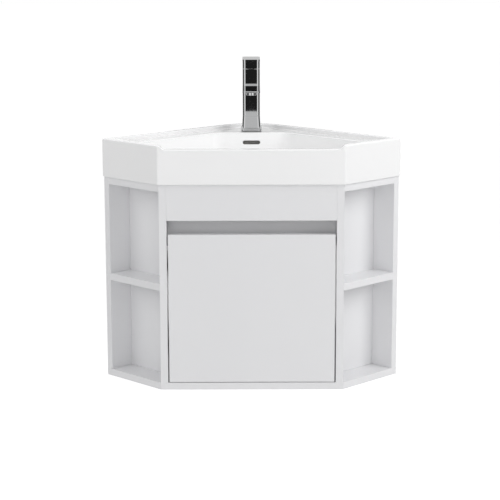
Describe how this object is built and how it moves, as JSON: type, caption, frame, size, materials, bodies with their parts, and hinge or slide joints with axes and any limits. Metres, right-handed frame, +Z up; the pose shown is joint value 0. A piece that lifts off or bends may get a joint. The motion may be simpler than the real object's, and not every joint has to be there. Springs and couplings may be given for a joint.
{
  "type": "corner vanity unit",
  "caption": "Wall-hung corner vanity with a ceramic basin, a lever mixer tap, a hinged inset door under a finger-pull gap, and open niches on both side faces.",
  "frame": {"origin": "middle of the unit's box at the underside of the bottom panel", "axes": "+X to the right across the front, +Y from the front towards the corner of the walls, +Z up"},
  "size_m": [0.6226, 0.3972, 0.663],
  "materials": {
    "ceramic": "glossy white glaze",
    "board": "satin light grey-white lacquer on board",
    "chrome": "polished chrome plate",
    "steel": "nickel plated",
    "brass": "machined, unplated",
    "rubber": "moulded black rubber",
    "nylon": "moulded nylon",
    "soft_plastic": "clear soft buffer",
    "beech": "fluted beech, unfinished"
  },
  "bodies": {
    "root": {"basin": "ceramic", "bottom_panel": "board", "left_partition": "board", "right_partition": "board", "left_wall_stile": "board", "right_wall_stile": "board", "left_niche_back": "board", "right_niche_back": "board", "left_niche_top": "board", "right_niche_top": "board", "left_shelf": "board", "right_shelf": "board", "left_top_rail": "board", "right_top_rail": "board", "left_low_rail": "board", "right_low_rail": "board", "corner_post": "board", "fascia": "board", "pull_back": "board", "pull_floor": "board", "dowels": "beech", "door_buffers": "soft_plastic", "hinge_arms": "steel", "hinge_plates": "steel", "hinge_plate_screws": "steel", "tap_body": "chrome", "tap_base_plate": "chrome", "tap_base_gasket": "rubber", "tap_stud": "steel", "tap_clamp_seal": "rubber", "tap_clamp_washer": "steel", "tap_stud_nut": "brass", "tap_cartridge": "nylon", "tap_cartridge_nut": "brass", "aerator_shell": "chrome", "aerator_insert": "nylon", "waste_body": "chrome", "waste_top_seal": "rubber", "waste_lower_seal": "rubber", "waste_nut": "brass", "plug_spring": "steel"},
    "door": {"door": "board", "hinge_cups": "steel", "hinge_cup_screws": "steel", "hinge_pins": "steel"},
    "tap_swivel": {"tap_spindle": "steel"},
    "tap_handle": {"tap_lever": "chrome", "tap_lever_screw": "steel", "tap_spindle_pin": "steel"},
    "plug": {"plug_cap": "chrome", "plug_stem": "brass"}
  },
  "joints": [
    {"name": "door_swing", "type": "hinge", "parent": "root", "child": "door", "pos_m": [-0.1587, -0.18612, 0.17075], "axis": [0, 0, -1], "range_deg": [0, 105]},
    {"name": "tap_turn", "type": "hinge", "parent": "root", "child": "tap_swivel", "pos_m": [0, 0.12638, 0.638], "axis": [0, 0, 1], "range_deg": [-45, 45]},
    {"name": "tap_lift", "type": "hinge", "parent": "tap_swivel", "child": "tap_handle", "pos_m": [0, 0.12638, 0.644], "axis": [-1, 0, 0], "range_deg": [0, 22]},
    {"name": "plug_press", "type": "slide", "parent": "root", "child": "plug", "axis": [0, 0, -1], "range_m": [0, 0.008], "stiffness_N_per_m": 300, "springref_m": -0.004, "deforming": ["plug_spring"]}
  ]
}
